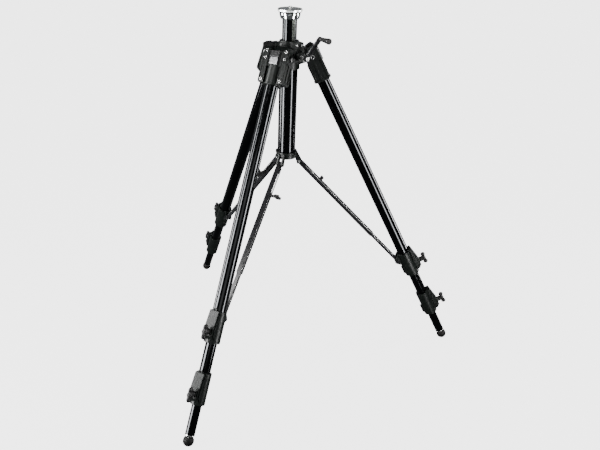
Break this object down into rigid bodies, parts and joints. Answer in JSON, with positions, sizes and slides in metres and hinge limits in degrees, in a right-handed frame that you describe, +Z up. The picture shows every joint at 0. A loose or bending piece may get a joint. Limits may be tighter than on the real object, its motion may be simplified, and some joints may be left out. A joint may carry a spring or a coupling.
{
  "type": "camera tripod",
  "caption": "Studio camera tripod with a geared, cranked centre column, a telescopic mid-level spreader and telescopic clamp-locked legs on spiked rubber feet.",
  "frame": {"origin": "centre of the head plate's top face, at the base of the camera stud", "axes": "+Z up along the column and the stud, +X towards the right leg's foot"},
  "size_m": [0.9484, 1.0898, 1.2],
  "materials": {
    "plate_metal": "polished, turned face",
    "collar_metal": "polished",
    "steel": "satin",
    "black_tube": "gloss black anodised",
    "rack_steel": "dark machined",
    "casting_paint": "black textured paint over a casting",
    "black_metal": "satin black",
    "grip_plastic": "matte",
    "knob_plastic": "satin black",
    "latch_metal": "bright die casting",
    "foot_rubber": "matte"
  },
  "bodies": {
    "frame": {"shoulder_casting": "casting_paint", "guide_sleeve": "black_tube", "spreader_collar": "casting_paint", "gear_housing": "casting_paint", "shoulder_pins": "steel"},
    "column": {"column_tube": "black_tube", "column_rack": "rack_steel", "plate_collar": "collar_metal", "head_plate": "plate_metal", "head_stud": "steel"},
    "pinion": {"drive_pinion": "steel"},
    "crank": {"crank_shaft": "steel", "crank_arm": "black_metal"},
    "grip": {"crank_grip": "grip_plastic"},
    "column_lock": {"column_lock_knob": "knob_plastic"},
    "right_leg": {"right_yoke": "casting_paint", "right_leg_bolts": "steel", "right_upper_tube": "black_tube", "right_upper_clamp": "casting_paint"},
    "right_latch": {"right_angle_latch": "latch_metal"},
    "right_upper_knob": {"right_upper_knob": "knob_plastic"},
    "right_middle": {"right_middle_tube": "black_tube", "right_lower_clamp": "casting_paint"},
    "right_lower_knob": {"right_lower_knob": "knob_plastic"},
    "right_lower": {"right_lower_tube": "black_tube", "right_foot_spike": "steel"},
    "right_foot": {"right_rubber_foot": "foot_rubber"},
    "right_channel": {"right_brace_channel": "black_metal"},
    "right_bar": {"right_brace_bar": "black_metal"},
    "right_brace_knob": {"right_brace_knob": "knob_plastic"},
    "rear_leg": {"rear_yoke": "casting_paint", "rear_leg_bolts": "steel", "rear_upper_tube": "black_tube", "rear_upper_clamp": "casting_paint"},
    "rear_latch": {"rear_angle_latch": "latch_metal"},
    "rear_upper_knob": {"rear_upper_knob": "knob_plastic"},
    "rear_middle": {"rear_middle_tube": "black_tube", "rear_lower_clamp": "casting_paint"},
    "rear_lower_knob": {"rear_lower_knob": "knob_plastic"},
    "rear_lower": {"rear_lower_tube": "black_tube", "rear_foot_spike": "steel"},
    "rear_foot": {"rear_rubber_foot": "foot_rubber"},
    "rear_channel": {"rear_brace_channel": "black_metal"},
    "rear_bar": {"rear_brace_bar": "black_metal"},
    "rear_brace_knob": {"rear_brace_knob": "knob_plastic"},
    "front_leg": {"front_yoke": "casting_paint", "front_leg_bolts": "steel", "front_upper_tube": "black_tube", "front_upper_clamp": "casting_paint"},
    "front_latch": {"front_angle_latch": "latch_metal"},
    "front_upper_knob": {"front_upper_knob": "knob_plastic"},
    "front_middle": {"front_middle_tube": "black_tube", "front_lower_clamp": "casting_paint"},
    "front_lower_knob": {"front_lower_knob": "knob_plastic"},
    "front_lower": {"front_lower_tube": "black_tube", "front_foot_spike": "steel"},
    "front_foot": {"front_rubber_foot": "foot_rubber"},
    "front_channel": {"front_brace_channel": "black_metal"},
    "front_bar": {"front_brace_bar": "black_metal"},
    "front_brace_knob": {"front_brace_knob": "knob_plastic"}
  },
  "joints": [
    {"name": "column_lift", "type": "slide", "parent": "frame", "child": "column", "axis": [0, 0, 1], "range_m": [-0.06, 0.23]},
    {"name": "pinion_turn", "type": "hinge", "parent": "frame", "child": "pinion", "pos_m": [0.01745, -0.03022, -0.1315], "axis": [0.866, 0.5, 0], "range_deg": [-328.55, 1256.2]},
    {"name": "crank_turn", "type": "hinge", "parent": "frame", "child": "crank", "pos_m": [0.01745, -0.03022, -0.1315], "axis": [0.5, -0.866, 0], "range_deg": [-1256.2, 328.55]},
    {"name": "grip_spin", "type": "hinge", "parent": "crank", "child": "grip", "pos_m": [0.08985, -0.06359, -0.07743], "axis": [0.5, -0.866, 0], "continuous": true},
    {"name": "column_lock_turn", "type": "hinge", "parent": "frame", "child": "column_lock", "pos_m": [-0.05, 0, -0.1085], "axis": [-1, 0, 0], "range_deg": [0, 180]},
    {"name": "right_leg_fold", "type": "hinge", "parent": "frame", "child": "right_leg", "pos_m": [0.06833, 0, -0.13472], "axis": [0, 1, 0], "range_deg": [0, 26.5]},
    {"name": "right_latch_pull", "type": "slide", "parent": "right_leg", "child": "right_latch", "axis": [0.8874, 0, 0.4611], "range_m": [0, 0.006], "stiffness_N_per_m": 600, "springref_m": -0.003},
    {"name": "right_upper_knob_turn", "type": "hinge", "parent": "right_leg", "child": "right_upper_knob", "pos_m": [0.48834, 0, -0.85635], "axis": [0.8874, 0, 0.4611], "range_deg": [0, 180]},
    {"name": "right_middle_extend", "type": "slide", "parent": "right_leg", "child": "right_middle", "axis": [0.4611, 0, -0.8874], "range_m": [-0.075, 0.5]},
    {"name": "right_lower_knob_turn", "type": "hinge", "parent": "right_middle", "child": "right_lower_knob", "pos_m": [0.57548, 0, -1.02406], "axis": [0.8874, 0, 0.4611], "range_deg": [0, 180]},
    {"name": "right_lower_extend", "type": "slide", "parent": "right_middle", "child": "right_lower", "axis": [0.4611, 0, -0.8874], "range_m": [-0.075, 0.5]},
    {"name": "right_foot_raise", "type": "slide", "parent": "right_lower", "child": "right_foot", "axis": [-0.4611, 0, 0.8874], "range_m": [0, 0.0055]},
    {"name": "right_brace_swing", "type": "hinge", "parent": "frame", "child": "right_channel", "pos_m": [0.042, 0, -0.4795], "axis": [0, 1, 0], "range_deg": [-0.5, 43.56]},
    {"name": "right_brace_slide", "type": "slide", "parent": "right_channel", "child": "right_bar", "axis": [0.695, 0, -0.719], "range_m": [-0.07287, 0.0005]},
    {"name": "right_brace_knob_turn", "type": "hinge", "parent": "right_bar", "child": "right_brace_knob", "pos_m": [0.11984, 0, -0.56003], "axis": [0, 1, 0], "range_deg": [0, 180]},
    {"name": "rear_leg_fold", "type": "hinge", "parent": "frame", "child": "rear_leg", "pos_m": [-0.03416, 0.05917, -0.13472], "axis": [-0.866, -0.5, 0], "range_deg": [0, 26.5]},
    {"name": "rear_latch_pull", "type": "slide", "parent": "rear_leg", "child": "rear_latch", "axis": [-0.4437, 0.7685, 0.4611], "range_m": [0, 0.006], "stiffness_N_per_m": 600, "springref_m": -0.003},
    {"name": "rear_upper_knob_turn", "type": "hinge", "parent": "rear_leg", "child": "rear_upper_knob", "pos_m": [-0.24417, 0.42291, -0.85635], "axis": [-0.4437, 0.7685, 0.4611], "range_deg": [0, 180]},
    {"name": "rear_middle_extend", "type": "slide", "parent": "rear_leg", "child": "rear_middle", "axis": [-0.2305, 0.3993, -0.8874], "range_m": [-0.075, 0.5]},
    {"name": "rear_lower_knob_turn", "type": "hinge", "parent": "rear_middle", "child": "rear_lower_knob", "pos_m": [-0.28774, 0.49838, -1.02406], "axis": [-0.4437, 0.7685, 0.4611], "range_deg": [0, 180]},
    {"name": "rear_lower_extend", "type": "slide", "parent": "rear_middle", "child": "rear_lower", "axis": [-0.2305, 0.3993, -0.8874], "range_m": [-0.075, 0.5]},
    {"name": "rear_foot_raise", "type": "slide", "parent": "rear_lower", "child": "rear_foot", "axis": [0.2305, -0.3993, 0.8874], "range_m": [0, 0.0055]},
    {"name": "rear_brace_swing", "type": "hinge", "parent": "frame", "child": "rear_channel", "pos_m": [-0.021, 0.03637, -0.4795], "axis": [-0.866, -0.5, 0], "range_deg": [-0.5, 43.56]},
    {"name": "rear_brace_slide", "type": "slide", "parent": "rear_channel", "child": "rear_bar", "axis": [-0.3475, 0.6019, -0.719], "range_m": [-0.07287, 0.0005]},
    {"name": "rear_brace_knob_turn", "type": "hinge", "parent": "rear_bar", "child": "rear_brace_knob", "pos_m": [-0.05992, 0.10378, -0.56003], "axis": [-0.866, -0.5, 0], "range_deg": [0, 180]},
    {"name": "front_leg_fold", "type": "hinge", "parent": "frame", "child": "front_leg", "pos_m": [-0.03416, -0.05917, -0.13472], "axis": [0.866, -0.5, 0], "range_deg": [0, 26.5]},
    {"name": "front_latch_pull", "type": "slide", "parent": "front_leg", "child": "front_latch", "axis": [-0.4437, -0.7685, 0.4611], "range_m": [0, 0.006], "stiffness_N_per_m": 600, "springref_m": -0.003},
    {"name": "front_upper_knob_turn", "type": "hinge", "parent": "front_leg", "child": "front_upper_knob", "pos_m": [-0.24417, -0.42291, -0.85635], "axis": [-0.4437, -0.7685, 0.4611], "range_deg": [0, 180]},
    {"name": "front_middle_extend", "type": "slide", "parent": "front_leg", "child": "front_middle", "axis": [-0.2305, -0.3993, -0.8874], "range_m": [-0.075, 0.5]},
    {"name": "front_lower_knob_turn", "type": "hinge", "parent": "front_middle", "child": "front_lower_knob", "pos_m": [-0.28774, -0.49838, -1.02406], "axis": [-0.4437, -0.7685, 0.4611], "range_deg": [0, 180]},
    {"name": "front_lower_extend", "type": "slide", "parent": "front_middle", "child": "front_lower", "axis": [-0.2305, -0.3993, -0.8874], "range_m": [-0.075, 0.5]},
    {"name": "front_foot_raise", "type": "slide", "parent": "front_lower", "child": "front_foot", "axis": [0.2305, 0.3993, 0.8874], "range_m": [0, 0.0055]},
    {"name": "front_brace_swing", "type": "hinge", "parent": "frame", "child": "front_channel", "pos_m": [-0.021, -0.03637, -0.4795], "axis": [0.866, -0.5, 0], "range_deg": [-0.5, 43.56]},
    {"name": "front_brace_slide", "type": "slide", "parent": "front_channel", "child": "front_bar", "axis": [-0.3475, -0.6019, -0.719], "range_m": [-0.07287, 0.0005]},
    {"name": "front_brace_knob_turn", "type": "hinge", "parent": "front_bar", "child": "front_brace_knob", "pos_m": [-0.05992, -0.10378, -0.56003], "axis": [0.866, -0.5, 0], "range_deg": [0, 180]}
  ],
  "couplings": [
    {"joint": "pinion_turn", "follows": "column_lift", "rad_per_m": 95.238},
    {"joint": "crank_turn", "follows": "column_lift", "rad_per_m": -95.238},
    {"joint": "right_brace_swing", "follows": "right_leg_fold", "ratio": 1.625},
    {"joint": "right_brace_slide", "follows": "right_leg_fold", "m_per_rad": -0.15647},
    {"joint": "rear_brace_swing", "follows": "rear_leg_fold", "ratio": 1.625},
    {"joint": "rear_brace_slide", "follows": "rear_leg_fold", "m_per_rad": -0.15647},
    {"joint": "front_brace_swing", "follows": "front_leg_fold", "ratio": 1.625},
    {"joint": "front_brace_slide", "follows": "front_leg_fold", "m_per_rad": -0.15647}
  ]
}
